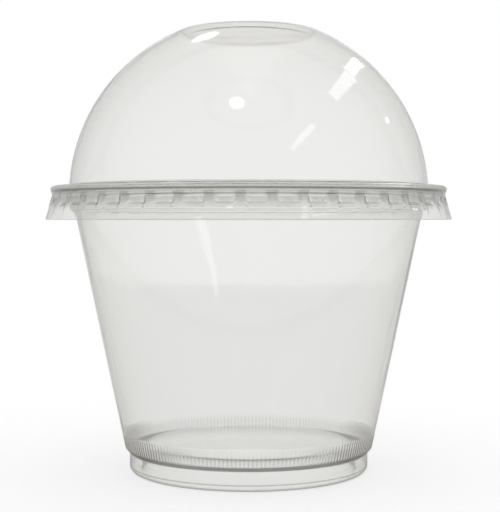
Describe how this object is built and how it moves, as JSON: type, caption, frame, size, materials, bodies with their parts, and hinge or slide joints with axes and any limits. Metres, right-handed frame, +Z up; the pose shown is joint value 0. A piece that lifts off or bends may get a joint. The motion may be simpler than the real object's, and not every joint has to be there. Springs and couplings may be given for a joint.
{
  "type": "cupcake cup with dome cover",
  "caption": "Clear thermoformed cup with raised floor, ribbed stacking step and rolled rim, under a clear domed cover that snaps over the rim to protect a cupcake",
  "frame": {"origin": "middle of the foot ring, on the surface the cup stands on", "axes": "+Z runs up the common axis of cup and dome; X and Y are equal, as both pieces are round"},
  "size_m": [0.0964, 0.0964, 0.1048],
  "materials": {
    "clear_cup": "clear formed PET sheet",
    "clear_lid": "clear formed PET sheet"
  },
  "bodies": {
    "cup": {"cup": "clear_cup"},
    "lid": {"dome_lid": "clear_lid"}
  },
  "joints": [
    {"name": "lid_lift", "type": "slide", "parent": "cup", "child": "lid", "axis": [0, 0, 1], "range_m": [0, 0.06]}
  ]
}
